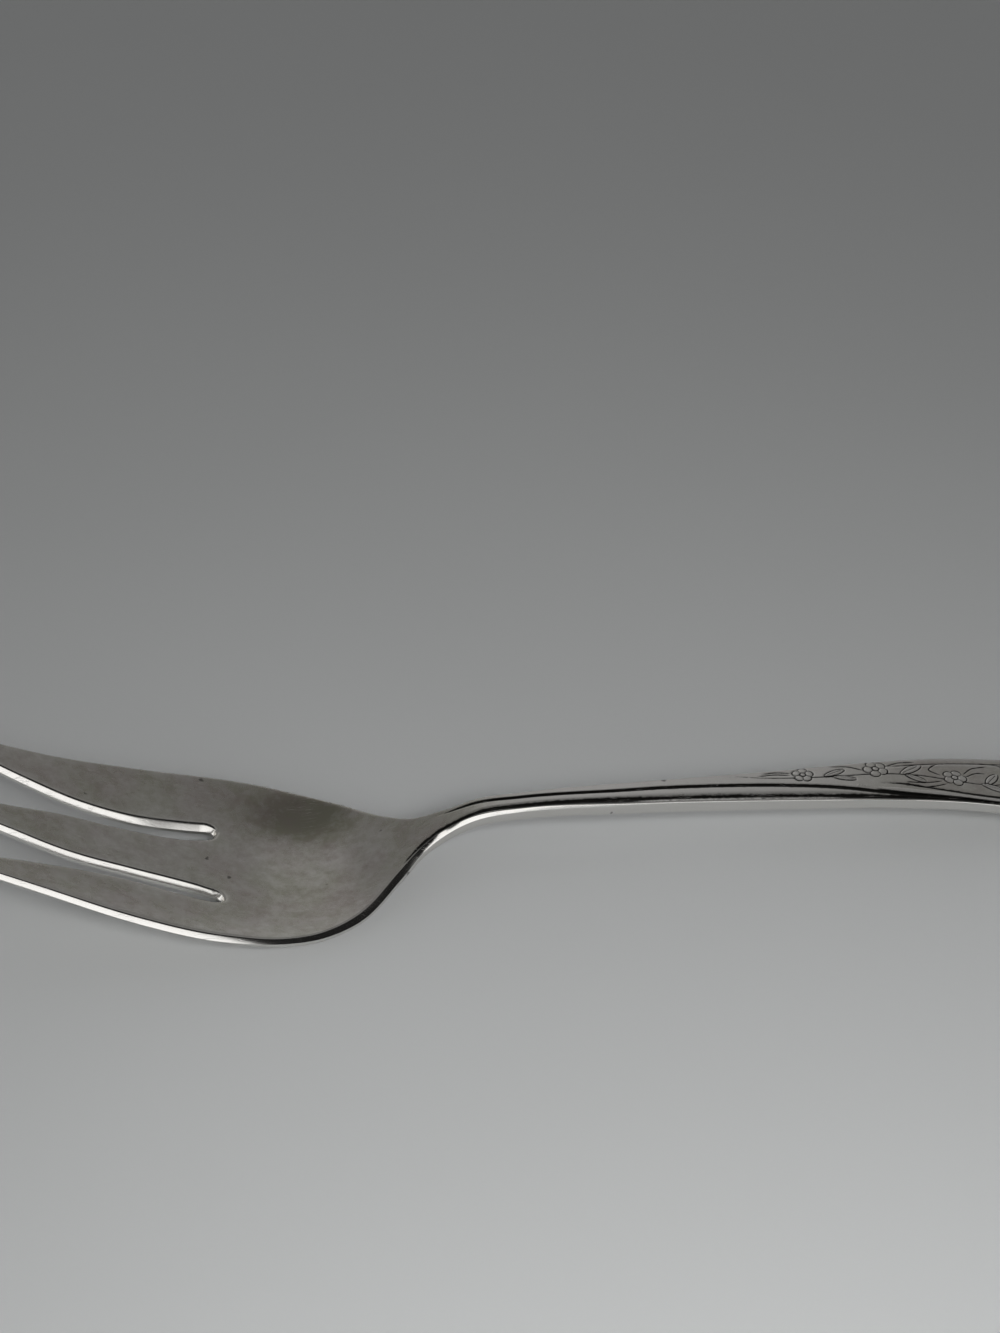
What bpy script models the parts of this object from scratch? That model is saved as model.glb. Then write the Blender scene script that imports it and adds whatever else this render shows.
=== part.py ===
"""Cold meat fork: a stamped blank with two silver wear blocks let into its back.

X runs from the tine tips to the handle end, Y across, Z up from the table the fork lies on.
The origin is on the table, under the middle of the fork's length.
"""

import bmesh
import bpy
import numpy as np

MM = 0.001

# Lengths along the fork, in millimetres from its middle.
TIP_X = -108.0
END_X = 108.0
SLOT_ROOT_X = -63.0
HEEL_X = -49.5
REST_X = 97.0

# Upper edge of the middle section: height above the table at each station.
TOP_LINE = (
    (TIP_X - 2, 26.0), (-95, 18.3), (-79, 10.7), (SLOT_ROOT_X, 4.6), (-54, 2.42), (HEEL_X, 2.03),
    (-43, 2.84), (-35, 6.0), (-27, 10.1), (-22, 12.0), (-15, 12.56), (3, 12.2), (27, 11.2),
    (45, 10.4), (55, 9.5), (63, 8.2), (75, 5.65), (86, 3.4), (REST_X, 2.08), (END_X + 2, 2.7),
)

# Half the width at each station, from the outer tine to the start of the round handle end.
HALF_WIDTH = (
    (-100, 16.3), (-88, 17.45), (-75, 19.35), (SLOT_ROOT_X, 20.4), (-54, 19.65), (-47, 17.4),
    (-41, 13.75), (-35, 7.8), (-31, 4.2), (-27, 2.75), (-20, 2.3), (0, 2.7), (21, 3.55),
    (45, 5.1), (59, 6.05), (75, 7.0), (89, 7.9), (98, 7.15), (104.5, 4.7),
)

# Edges of one slot, from the middle tine's tip down to the slot's round root and back up.
MIDDLE_TINE_EDGE = ((-107.4, 0.75), (-101, 2.1), (-94, 3.35), (-87, 4.75), (-77, 5.2), (-68.5, 5.8))
SLOT_ROOT_Y = 7.65
SLOT_ROOT_R = 1.5
OUTER_TINE_EDGE = ((-68.5, 8.65), (-76, 7.8), (-84, 8.25), (-92, 10.05), (-101, 12.6), (-107.3, 14.05))
OUTER_TIP_Y = 14.7
OUTER_TIP_HALF = 0.65

# How much the upper side rises from its middle to the side, per square of the distance in mm.
DISH = ((TIP_X - 2, 0.0048), (-80, 0.0058), (-45, 0.0058), (-25, 0.0), (20, -0.004), (END_X + 2, -0.004))

# Sheet thickness along the middle and along the edge.
MIDDLE_THICKNESS = (
    (TIP_X - 2, 1.5), (-75, 1.85), (HEEL_X, 2.15), (-25, 3.0), (-5, 3.0), (50, 2.5), (REST_X, 2.2),
    (END_X + 2, 1.8),
)
EDGE_THICKNESS = (
    (TIP_X - 2, 1.3), (-85, 1.45), (-60, 1.6), (-25, 2.1), (0, 2.1), (60, 1.8), (END_X + 2, 1.5),
)
THICKEST = 3.0

# The sheet before it is trimmed to the outline: cells along and across.
SHEET_ROWS = 84
SHEET_COLUMNS = 16
SHEET_HALF_WIDTH = 22.0
ROW_STATIONS = ((0.0, TIP_X - 2), (0.3, SLOT_ROOT_X), (0.62, -15.0), (1.0, END_X + 2))
OUTLINE_HALF_HEIGHT = 30.0
OUTLINE_RESOLUTION = 4
MERGE_DISTANCE = 0.01
THINNING_RANGE = (-100.0, 98.0)

# Wear blocks: half length along X, half width along Y, height of the seated top.
HEEL_BLOCK = (5.0, 7.0)
HANDLE_BLOCK = (8.0, 5.4)
BLOCK_TOP = 0.85
BLOCK_SIDES = 40
SEAT_GAP = 0.3
SEAT_BOTTOM = -2.0

# Colours as they show on the upper side and on the unplated wear blocks.
TARNISHED_PLATE = (0.42, 0.40, 0.36)
BRIGHT_SILVER = (0.72, 0.70, 0.66)
PLATE_ROUGHNESS = 0.3
SILVER_ROUGHNESS = 0.35


def smooth(points, station):
    """Read the smooth curve through (station, value) points at one or more stations."""
    at, value = np.array(points).T
    slope = np.gradient(value, at)
    i = np.clip(np.searchsorted(at, station) - 1, 0, len(at) - 2)
    span = at[i + 1] - at[i]
    t = (station - at[i]) / span
    rise = value[i + 1] - value[i]
    start, finish = slope[i] * span, slope[i + 1] * span
    return value[i] + t * (start + t * (3 * rise - 2 * start - finish + t * (start + finish - 2 * rise)))


def clear_scene():
    for obj in list(bpy.data.objects):
        bpy.data.objects.remove(obj, do_unlink=True)


def new_collection(name):
    collection = bpy.data.collections.new(name)
    bpy.context.scene.collection.children.link(collection)
    return collection


def metal(name, colour, roughness):
    material = bpy.data.materials.new(name)
    material.use_nodes = True
    shader = material.node_tree.nodes["Principled BSDF"]
    shader.inputs["Base Color"].default_value = (*colour, 1.0)
    shader.inputs["Metallic"].default_value = 1.0
    shader.inputs["Roughness"].default_value = roughness
    return material


def add_object(name, mesh, collection):
    obj = bpy.data.objects.new(name, mesh)
    collection.objects.link(obj)
    return obj


def mark_as_cutter(obj):
    obj.hide_render = True
    obj.display_type = "WIRE"


def combine(obj, other, operation):
    modifier = obj.modifiers.new(operation.title(), "BOOLEAN")
    modifier.operation = operation
    modifier.solver = "EXACT"
    modifier.object = other


def outline_points():
    """The whole outline, anticlockwise from above, starting at the middle tine's tip."""
    slot_centre_x = SLOT_ROOT_X - SLOT_ROOT_R
    slot_root = [
        (slot_centre_x, SLOT_ROOT_Y - SLOT_ROOT_R),
        (SLOT_ROOT_X, SLOT_ROOT_Y),
        (slot_centre_x, SLOT_ROOT_Y + SLOT_ROOT_R),
    ]
    outer_tip = [
        (TIP_X, OUTER_TIP_Y),
        (TIP_X + OUTER_TIP_HALF, OUTER_TIP_Y + OUTER_TIP_HALF),
    ]
    half = [*MIDDLE_TINE_EDGE, *slot_root, *OUTER_TINE_EDGE, *outer_tip, *HALF_WIDTH]
    mirrored = [(x, -y) for x, y in reversed(half)]
    return [(TIP_X, 0.0), *half, (END_X, 0.0), *mirrored]


def outline_prism(name, collection):
    """A tall block with the fork's outline, from a filled 2D curve."""
    curve = bpy.data.curves.new(name + "_curve", "CURVE")
    curve.dimensions = "2D"
    curve.fill_mode = "BOTH"
    curve.extrude = OUTLINE_HALF_HEIGHT * MM
    curve.resolution_u = OUTLINE_RESOLUTION
    points = outline_points()
    spline = curve.splines.new("BEZIER")
    spline.bezier_points.add(len(points) - 1)
    spline.use_cyclic_u = True
    for point, (x, y) in zip(spline.bezier_points, points):
        point.co = (x * MM, y * MM, 0.0)
        point.handle_left_type = "AUTO"
        point.handle_right_type = "AUTO"
    guide = add_object(name + "_curve", curve, collection)
    evaluated = guide.evaluated_get(bpy.context.evaluated_depsgraph_get())
    mesh = bpy.data.meshes.new_from_object(evaluated)
    prism = add_object(name, mesh, collection)
    prism.matrix_world = guide.matrix_world
    bpy.data.objects.remove(guide, do_unlink=True)
    bm = bmesh.new()
    bm.from_mesh(mesh)
    bmesh.ops.remove_doubles(bm, verts=bm.verts, dist=MERGE_DISTANCE * MM)
    bm.to_mesh(mesh)
    bm.free()
    return prism


def formed_sheet(name, collection):
    """The formed sheet before trimming: upper side bent to shape, thickness given downwards."""
    bm = bmesh.new()
    bmesh.ops.create_grid(bm, x_segments=SHEET_ROWS, y_segments=SHEET_COLUMNS, size=1.0)
    weights = bm.verts.layers.deform.verify()
    for vert in bm.verts:
        x = float(smooth(ROW_STATIONS, (vert.co.x + 1.0) / 2.0))
        y = vert.co.y * SHEET_HALF_WIDTH
        z = float(smooth(TOP_LINE, x) + smooth(DISH, x) * y * y)
        half_width = float(smooth(HALF_WIDTH, np.clip(x, *THINNING_RANGE)))
        out = min(1.0, abs(y) / half_width)
        middle = float(smooth(MIDDLE_THICKNESS, x))
        edge = float(smooth(EDGE_THICKNESS, x))
        vert.co = (x * MM, y * MM, z * MM)
        vert[weights][0] = (middle + (edge - middle) * out * out) / THICKEST
    mesh = bpy.data.meshes.new(name)
    bm.to_mesh(mesh)
    bm.free()
    sheet = add_object(name, mesh, collection)
    sheet.vertex_groups.new(name="thickness")
    solidify = sheet.modifiers.new("Thickness", "SOLIDIFY")
    solidify.thickness = THICKEST * MM
    solidify.offset = -1.0
    solidify.vertex_group = "thickness"
    mark_as_cutter(sheet)
    return sheet


def oval_block(name, collection, x, half_sizes, bottom, top):
    """An upright oval block, its place and size held in its mesh."""
    bm = bmesh.new()
    bmesh.ops.create_cone(
        bm, cap_ends=True, segments=BLOCK_SIDES, radius1=1.0, radius2=1.0, depth=(top - bottom) * MM
    )
    bmesh.ops.scale(bm, vec=(half_sizes[0] * MM, half_sizes[1] * MM, 1.0), verts=bm.verts)
    bmesh.ops.translate(bm, vec=(x * MM, 0.0, (top + bottom) / 2 * MM), verts=bm.verts)
    mesh = bpy.data.meshes.new(name)
    bm.to_mesh(mesh)
    bm.free()
    return add_object(name, mesh, collection)


def wear_block(name, x, half_sizes, sheet, blank, parts, cutters):
    """A silver block in the back: curved with the back, worn flat where it meets the table."""
    seat_sizes = [size + SEAT_GAP for size in half_sizes]
    seat = oval_block(name + "_seat", cutters, x, seat_sizes, SEAT_BOTTOM, BLOCK_TOP + SEAT_GAP)
    mark_as_cutter(seat)
    combine(blank, seat, "DIFFERENCE")
    block = oval_block(name, parts, x, half_sizes, 0.0, BLOCK_TOP)
    combine(block, sheet, "INTERSECT")
    block.data.materials.append(metal(name + "_silver", BRIGHT_SILVER, SILVER_ROUGHNESS))


def build():
    clear_scene()
    parts = new_collection("cold_meat_fork")
    cutters = new_collection("cutters")
    sheet = formed_sheet("formed_sheet", cutters)
    blank = outline_prism("fork_blank", parts)
    combine(blank, sheet, "INTERSECT")
    blank.data.materials.append(metal("tarnished_plate", TARNISHED_PLATE, PLATE_ROUGHNESS))
    wear_block("heel_wear_block", HEEL_X, HEEL_BLOCK, sheet, blank, parts, cutters)
    wear_block("handle_wear_block", REST_X, HANDLE_BLOCK, sheet, blank, parts, cutters)


build()
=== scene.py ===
"""Cold meat fork: a plated blank with a stamped handle, two silver wear blocks, and a plain stage.

X runs from the tine tips to the handle end, Y across, Z up from the table the fork lies on.
Lengths in the shape tables are millimetres; the finished meshes are in metres.
"""

import math

import bmesh
import bpy
import numpy as np
from bpy.props import FloatProperty, FloatVectorProperty, PointerProperty
from mathutils import Matrix, Vector, kdtree


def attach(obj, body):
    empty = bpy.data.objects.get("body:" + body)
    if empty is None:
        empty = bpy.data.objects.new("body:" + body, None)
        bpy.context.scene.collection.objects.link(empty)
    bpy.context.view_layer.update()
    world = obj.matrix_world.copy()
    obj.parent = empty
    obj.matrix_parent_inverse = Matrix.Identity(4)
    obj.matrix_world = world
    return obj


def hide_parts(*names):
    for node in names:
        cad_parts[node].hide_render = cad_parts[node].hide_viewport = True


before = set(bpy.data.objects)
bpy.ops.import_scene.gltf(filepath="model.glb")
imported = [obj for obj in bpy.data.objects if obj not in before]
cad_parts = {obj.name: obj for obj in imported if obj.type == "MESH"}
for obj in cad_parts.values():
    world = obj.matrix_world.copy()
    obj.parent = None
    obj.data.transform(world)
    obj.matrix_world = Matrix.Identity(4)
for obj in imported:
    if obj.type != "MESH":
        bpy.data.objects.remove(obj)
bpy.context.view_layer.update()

bl_info = {
    "name": "Cold meat fork",
    "version": (1, 0, 0),
    "blender": (4, 5, 0),
    "location": "3D View > Sidebar > Fork",
    "description": "Makes a plated cold meat fork with a stamped handle, and a stage for it",
    "category": "Add Mesh",
}

MM = 0.001

# Stations along the fork, from its middle.
TIP_X = -108.0
END_X = 108.0
BEFORE_TIP = TIP_X - 2.0
PAST_END = END_X + 2.0
HEEL_X = -49.5
REST_X = 97.0
TINE_START_X = -107.35
TIP_NOSE = TINE_START_X - TIP_X
SLOT_END_X = -64.5
NECK_X = -45.0
SHANK_X = -20.0
PANEL_X = 18.0
END_START_X = 88.0
END_CORNER_X = 96.0

# Round end of a slot: its middle, its radius, and its outward lean as a share of its half width.
SLOT_ROOT_Y = 7.65
SLOT_ROOT_R = 1.5
SLOT_ROOT_LEAN = 0.3

# Upper edge of the middle section: height above the table at each station.
TOP_LINE = (
    (BEFORE_TIP, 26.0), (-95, 18.3), (-79, 10.7), (-63, 4.6), (-54, 2.42), (HEEL_X, 2.03),
    (-43, 2.84), (-35, 6.0), (-27, 10.1), (-22, 12.0), (-15, 12.56), (3, 12.2), (27, 11.2),
    (45, 10.4), (55, 9.5), (63, 8.2), (75, 5.65), (86, 3.4), (REST_X, 2.08), (PAST_END, 2.7),
)

# Half the width at each station.
HALF_WIDTH = (
    (TINE_START_X, 15.35), (-100, 16.3), (-88, 17.45), (-75, 19.35), (-63, 20.4), (-54, 19.65),
    (-47, 17.4), (-41, 13.75), (-35, 7.8), (-31, 4.2), (-27, 2.75), (-20, 2.3), (0, 2.7),
    (21, 3.55), (45, 5.1), (59, 6.05), (75, 7.0), (89, 7.9), (END_CORNER_X, 7.45),
)

# The two edges of a slot, from the tine tips to the start of its round end.
MIDDLE_TINE_EDGE = (
    (TINE_START_X, 0.75), (-101, 2.1), (-94, 3.35), (-87, 4.75), (-77, 5.2), (-70, 5.6), (-67, 6.0),
    (SLOT_END_X, 6.7),
)
OUTER_TINE_EDGE = (
    (TINE_START_X, 14.05), (-101, 12.6), (-92, 10.05), (-84, 8.25), (-76, 7.8), (-68.5, 8.65),
    (SLOT_END_X, SLOT_ROOT_Y + SLOT_ROOT_R),
)

# How much the upper side rises from its middle to the side, per square of the distance.
DISH = (
    (BEFORE_TIP, 0.0048), (-80, 0.0058), (-45, 0.0058), (-25, 0.0), (20, -0.004),
    (PAST_END, -0.004),
)

# Thickness along the middle and along the edge.
MIDDLE_THICKNESS = (
    (BEFORE_TIP, 1.5), (-75, 1.85), (HEEL_X, 2.15), (-25, 3.0), (-5, 3.0), (50, 2.5), (REST_X, 2.2),
    (PAST_END, 1.8),
)
EDGE_THICKNESS = (
    (BEFORE_TIP, 1.3), (-85, 1.45), (-60, 1.6), (-25, 2.1), (0, 2.1), (60, 1.8), (PAST_END, 1.5),
)

# Upper rim at each station: radius of its rounding, and height of the sloped side under it.
TOP_ROUND = (
    (BEFORE_TIP, 0.3), (-90, 0.65), (-75, 0.8), (-65, 0.8), (-55, 0.66), (-46, 0.6), (-40, 0.65),
    (-34, 0.5), (-28, 0.28), (-20, 0.2), (5, 0.16), (PAST_END, 0.2),
)
TOP_SIDE = (
    (BEFORE_TIP, 0.74), (-90, 0.82), (-75, 0.86), (-65, 0.84), (-55, 0.65), (-46, 0.8), (-40, 1.0),
    (-34, 1.0), (-28, 0.8), (-20, 0.58), (-8, 0.48), (4, 0.2), (12, 0.12), (PAST_END, 0.16),
)

# Lean of the sloped side at each station, in degrees from upright.
SIDE_TILT = (
    (BEFORE_TIP, 27), (-65, 27), (-57, 32), (-49, 38), (-42, 34), (-36, 33), (-31, 28), (-25, 24),
    (PAST_END, 24),
)

# Rounding of the back's rim at each station.
BACK_ROUND = (
    (BEFORE_TIP, 0.15), (-80, 0.12), (-60, 0.16), (-42, 0.3), (-25, 0.35), (20, 0.4),
    (PAST_END, 0.4),
)

# Cells of the grid that the blank is formed from.
RIM_STEPS = 6
OUTER_TINE_CELLS = 8
SLOT_CELLS = 12
MIDDLE_TINE_CELLS = 8
EDGE_STEPS = 2
TINE_ROWS = 56
BOWL_ROWS = 38
NECK_ROWS = 48
SHANK_ROWS = 48
END_ROWS = 116

# The back keeps only every so many of the grid's columns and rows behind the slots.
BACK_COLUMN_STEP = 2
BACK_ROW_STEP = 4

# The two flutes of the handle: station, middle, half width and depth as a share of the full depth.
FAR_FLUTE = (
    (-28.5, 1.5, 0.28, 0.0), (-24.5, 1.15, 0.34, 0.7), (-20, 0.93, 0.38, 1.0),
    (-15, 0.82, 0.42, 1.0), (-2, 0.72, 0.46, 1.0), (8, 0.84, 0.52, 1.0),
    (17.4, 0.61, 0.54, 1.0), (27, 0.0, 0.56, 1.0), (36.6, -1.38, 0.58, 1.0),
    (42.8, -2.86, 0.6, 1.0), (49, -4.1, 0.55, 1.0), (55.5, -5.0, 0.45, 0.9), (62, -5.7, 0.35, 0.8),
    (70, -6.45, 0.2, 0.3),
)
NEAR_FLUTE = (
    (-35, -6.2, 0.4, 0.0), (-32, -3.75, 0.46, 0.8), (-29, -2.35, 0.5, 1.0), (-25, -1.6, 0.52, 1.0),
    (-20, -1.3, 0.58, 1.0), (-14, -1.32, 0.65, 1.0), (-9, -1.39, 0.71, 1.0),
    (4, -1.69, 0.95, 1.0), (10.4, -1.9, 0.97, 1.0), (17, -2.18, 0.99, 1.0), (27, -2.73, 0.97, 1.0),
    (36.2, -3.46, 0.86, 1.0), (42.6, -4.1, 0.65, 1.0), (49, -4.63, 0.53, 1.0),
    (55.5, -5.27, 0.38, 0.9), (62, -5.82, 0.25, 0.8), (70, -6.45, 0.2, 0.3),
)

# A flute's soft side against its crisp side, and how dark a flute is painted against its depth:
# patina in the hollow together with painted shade.
FLUTE_SOFTNESS = 1.7
FLUTE_PATINA_AND_SHADE = 1.5

# Where the near flute is rubbed bright, how much, and the brighter streak: its place and width.
RUBBED_FLUTE = (0.0, 40.0)
RUBBED_FADE = 6.0
RUBBED_SHARE = 0.3
STREAK_SHARE = 0.45
STREAK_AT = -0.45
STREAK_WIDTH = 0.35

# Step over which the slope of a curve is measured.
SLOPE_STEP = 0.5


def smooth(points, station):
    """Read the smooth curve through (station, value) points at one or more stations."""
    at, value = np.array(points, dtype=float).T
    slope = np.gradient(value, at)
    i = np.clip(np.searchsorted(at, station) - 1, 0, len(at) - 2)
    span = at[i + 1] - at[i]
    t = np.clip((station - at[i]) / span, 0.0, 1.0)
    rise = value[i + 1] - value[i]
    start, finish = slope[i] * span, slope[i + 1] * span
    square = 3 * rise - 2 * start - finish
    cubic = start + finish - 2 * rise
    return value[i] + t * (start + t * (square + t * cubic))


def ease(t):
    """Go from 0 to 1 with level ends."""
    t = np.clip(t, 0.0, 1.0)
    return t * t * (3.0 - 2.0 * t)


def slope_of(points, station):
    """Slope of the smooth curve through points."""
    before, after = smooth(points, station - SLOPE_STEP), smooth(points, station + SLOPE_STEP)
    return (after - before) / (2.0 * SLOPE_STEP)


# Columns of the grid, and the first and last of each slot and tine.
OUTER_COLUMNS = OUTER_TINE_CELLS + 2 * RIM_STEPS
MIDDLE_COLUMNS = MIDDLE_TINE_CELLS + 2 * RIM_STEPS
COLUMN_GROUPS = np.cumsum((0, OUTER_COLUMNS, SLOT_CELLS, MIDDLE_COLUMNS, SLOT_CELLS, OUTER_COLUMNS))
COLUMNS = int(COLUMN_GROUPS[-1])
NEAR_SLOT = (int(COLUMN_GROUPS[1]), int(COLUMN_GROUPS[2]))
FAR_SLOT = (int(COLUMN_GROUPS[3]), int(COLUMN_GROUPS[4]))
TINES = ((0, NEAR_SLOT[0]), (NEAR_SLOT[1], FAR_SLOT[0]), (FAR_SLOT[1], COLUMNS))
SLOT_ROOT_ROW = RIM_STEPS + TINE_ROWS

# Lengths over which the rows straighten behind a tip and a slot, and the columns spread evenly.
TIP_BLEND = 5.0
ROOT_BLEND = 12.0
SPREAD_LENGTH = 22.0

# The most of a strip's width that one rim takes, how finely the outline is measured, and how near
# to it a point counts as on it.
RIM_SHARE = 0.35
OUTLINE_FINENESS = 6
ON_OUTLINE = 0.001

# Edges that turn further than this, in degrees, are drawn sharp.
SHARP_ANGLE = 60.0


def rim_insets(stations):
    """How far in from the outline the columns of the rim lie at each station."""
    radius = np.atleast_1d(smooth(TOP_ROUND, stations))[:, None]
    side = np.atleast_1d(smooth(TOP_SIDE, stations))[:, None]
    tilt = np.radians(np.atleast_1d(smooth(SIDE_TILT, stations)))[:, None]
    turn = tilt + (math.pi / 2.0 - tilt) * np.linspace(0.0, 1.0, RIM_STEPS)
    rounded = side * np.tan(tilt) + radius * (np.cos(tilt) - np.cos(turn))
    return np.hstack([np.zeros_like(side), rounded])


def strip(low, high, cells, insets):
    """Columns between two edges, gathered at both rims for their rounding."""
    width = (high - low)[:, None]
    insets = insets * np.minimum(1.0, RIM_SHARE * width / insets[:, -1:])
    inner = np.linspace(0.0, 1.0, cells + 1) * (width - 2.0 * insets[:, -1:])
    left = low[:, None] + insets[:, :-1]
    right = high[:, None] - insets[:, -2::-1]
    return np.hstack([left, low[:, None] + insets[:, -1:] + inner, right])


def row_stations(panel_step):
    """Station of each row at the fork's side, and how far it is into the round handle end."""
    tip_rim, root_rim, end_rim = rim_insets(np.array((TINE_START_X, SLOT_END_X, END_X)))
    end_rim = end_rim / (END_X - END_START_X)
    panel_rows = round((END_START_X - PANEL_X) / panel_step)
    straight = [
        TINE_START_X + tip_rim[:-1],
        np.linspace(TINE_START_X + tip_rim[-1], SLOT_END_X, TINE_ROWS + 1),
        SLOT_END_X + root_rim[1:-1],
        np.linspace(SLOT_END_X + root_rim[-1], NECK_X, BOWL_ROWS + 1),
        np.linspace(NECK_X, SHANK_X, NECK_ROWS + 1)[1:],
        np.linspace(SHANK_X, PANEL_X, SHANK_ROWS + 1)[1:],
        np.linspace(PANEL_X, END_START_X, panel_rows + 1)[1:],
    ]
    straight = np.concatenate(straight)
    into_end = np.linspace(0.0, 1.0 - end_rim[-1], END_ROWS + 1)[1:]
    into_end = np.concatenate([into_end, 1.0 - end_rim[-2::-1]])
    stations = np.concatenate([straight, END_START_X + (END_CORNER_X - END_START_X) * into_end])
    return stations, np.concatenate([np.zeros(len(straight)), into_end])


def round_off(x, y, columns, length, share):
    """Bend rows between two columns towards a half oval that reaches past them."""
    first, last = columns
    middle = (y[:, first] + y[:, last])[:, None] / 2.0
    half = (y[:, last] - y[:, first])[:, None] / 2.0
    across = (y[:, first:last + 1] - middle) / half
    share = share[:, None]
    x[:, first:last + 1] += length * share * np.cos(across * math.pi / 2.0)
    bow = np.sin(across * math.pi / 2.0) - across
    y[:, first:last + 1] = middle + half * (across + share * bow)


def close_slot(x, y, slot, lean):
    """Carry a slot's rim round its end as ovals, and ease the rows behind them back to straight."""
    first, last = slot
    rim = rim_insets(SLOT_END_X)[0]
    middle = (y[SLOT_ROOT_ROW, last] + y[SLOT_ROOT_ROW, first]) / 2.0
    half = (y[SLOT_ROOT_ROW, last] - y[SLOT_ROOT_ROW, first]) / 2.0
    last_row = SLOT_ROOT_ROW + RIM_STEPS
    block = np.s_[first - RIM_STEPS:last + RIM_STEPS + 1]
    plain_x, plain_y = x[last_row, block].copy(), y[last_row, block].copy()
    for step, inset in enumerate(rim):
        reach, spread = SLOT_ROOT_R + inset, half + inset
        corner = math.asin(inset / reach)
        turn = np.linspace(corner, math.pi - corner, last - first + 2 * step + 1)
        row = np.s_[SLOT_ROOT_ROW + step, first - step:last + step + 1]
        x[row] = SLOT_END_X + reach * np.sin(turn)
        y[row] = middle - spread * np.cos(turn) + lean * half * np.sin(turn) ** 2
        turn = np.arcsin(rim[:step] / reach)
        off_middle = middle + lean * half * np.sin(turn) ** 2
        y[SLOT_ROOT_ROW:SLOT_ROOT_ROW + step, first - step] = off_middle - spread * np.cos(turn)
        y[SLOT_ROOT_ROW:SLOT_ROOT_ROW + step, last + step] = off_middle + spread * np.cos(turn)
    behind = x[last_row + 1:, :1] - x[last_row, 0]
    share = np.clip(1.0 - behind / ROOT_BLEND, 0.0, 1.0) ** 2
    x[last_row + 1:, block] += share * (x[last_row, block] - plain_x)
    y[last_row + 1:, block] += share * (y[last_row, block] - plain_y)


def plan_of_blank(panel_step):
    """Plan position of every point of the grid, tines and slots included."""
    rows, into_end = row_stations(panel_step)
    width = smooth(HALF_WIDTH, rows)
    rim = rim_insets(rows)
    side_rim = rim * np.sqrt(1.0 + slope_of(HALF_WIDTH, rows) ** 2)[:, None]
    in_tines = np.minimum(rows, SLOT_END_X)
    scale = width / smooth(HALF_WIDTH, in_tines)
    outer = smooth(OUTER_TINE_EDGE, in_tines) * scale
    inner = smooth(MIDDLE_TINE_EDGE, in_tines) * scale
    far_tine = strip(outer, width, OUTER_TINE_CELLS, rim)
    middle_tine = strip(-inner, inner, MIDDLE_TINE_CELLS, rim)
    slot = inner[:, None] + np.linspace(0.0, 1.0, SLOT_CELLS + 1)[1:-1] * (outer - inner)[:, None]
    y = np.hstack([-far_tine[:, ::-1], -slot[:, ::-1], middle_tine, slot, far_tine])
    even = strip(-width, width, COLUMNS - 2 * RIM_STEPS, side_rim)
    y += (even - y) * ease((rows - SLOT_END_X) / SPREAD_LENGTH)[:, None]
    x = np.repeat(rows[:, None], COLUMNS + 1, axis=1)
    tip = np.clip(1.0 - (rows - TINE_START_X) / TIP_BLEND, 0.0, 1.0) ** 2
    for tine in TINES:
        round_off(x, y, tine, -TIP_NOSE, tip)
    close_slot(x, y, NEAR_SLOT, -SLOT_ROOT_LEAN)
    close_slot(x, y, FAR_SLOT, SLOT_ROOT_LEAN)
    round_off(x, y, (0, COLUMNS), END_X - END_CORNER_X, into_end)
    return x, y


def outline_lines(x, y):
    """The runs of the grid's points that together make the outline."""
    runs = [np.s_[:, 0], np.s_[:, COLUMNS], np.s_[-1, :]]
    for first, last in TINES:
        runs.append(np.s_[0, first:last + 1])
    for first, last in (NEAR_SLOT, FAR_SLOT):
        runs += [np.s_[:SLOT_ROOT_ROW + 1, first], np.s_[:SLOT_ROOT_ROW + 1, last]]
        runs.append(np.s_[SLOT_ROOT_ROW, first:last + 1])
    return [np.column_stack([x[run], y[run]]) for run in runs]


def distance_to_outline(x, y):
    """Plan distance from every point of the grid to the nearest point of the outline."""
    points = []
    for line in outline_lines(x, y):
        at = np.linspace(0.0, len(line) - 1.0, OUTLINE_FINENESS * (len(line) - 1) + 1)
        finer = [np.interp(at, np.arange(len(line)), line[:, k]) for k in (0, 1)]
        points.append(np.column_stack(finer))
    points = np.concatenate(points)
    tree = kdtree.KDTree(len(points))
    for index, (at_x, at_y) in enumerate(points):
        tree.insert((at_x, at_y, 0.0), index)
    tree.balance()
    found = [tree.find((at_x, at_y, 0.0))[2] for at_x, at_y in zip(x.ravel(), y.ravel())]
    return np.array(found).reshape(x.shape)


def rounded_side(x, distance):
    """How far the rim and the sloped side under it have fallen at a distance from the outline."""
    radius = smooth(TOP_ROUND, x)
    tilt = np.radians(smooth(SIDE_TILT, x))
    side_reach = smooth(TOP_SIDE, x) * np.tan(tilt)
    on_side = np.clip((side_reach - distance) / np.tan(tilt), 0.0, None)
    turned = np.clip((side_reach + radius * np.cos(tilt) - distance) / radius, 0.0, np.cos(tilt))
    return on_side + radius * (1.0 - np.sqrt(1.0 - turned * turned))


def quarter_round(distance, radius):
    """How far a rounded rim has fallen at a distance from the outline."""
    inward = 1.0 - np.clip(distance / radius, 0.0, 1.0)
    return radius * (1.0 - np.sqrt(1.0 - inward * inward))


def upper_height(x, y):
    """Height of the upper side before its rim is rounded."""
    return smooth(TOP_LINE, x) + smooth(DISH, x) * y * y


def back_height(x, y):
    """Height of the back before its rim is rounded."""
    out = np.clip(np.abs(y) / smooth(HALF_WIDTH, x), 0.0, 1.0)
    middle = smooth(MIDDLE_THICKNESS, x)
    thickness = middle + (smooth(EDGE_THICKNESS, x) - middle) * out * out
    return upper_height(x, y) - thickness * np.sqrt(1.0 + slope_of(TOP_LINE, x) ** 2)


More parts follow.
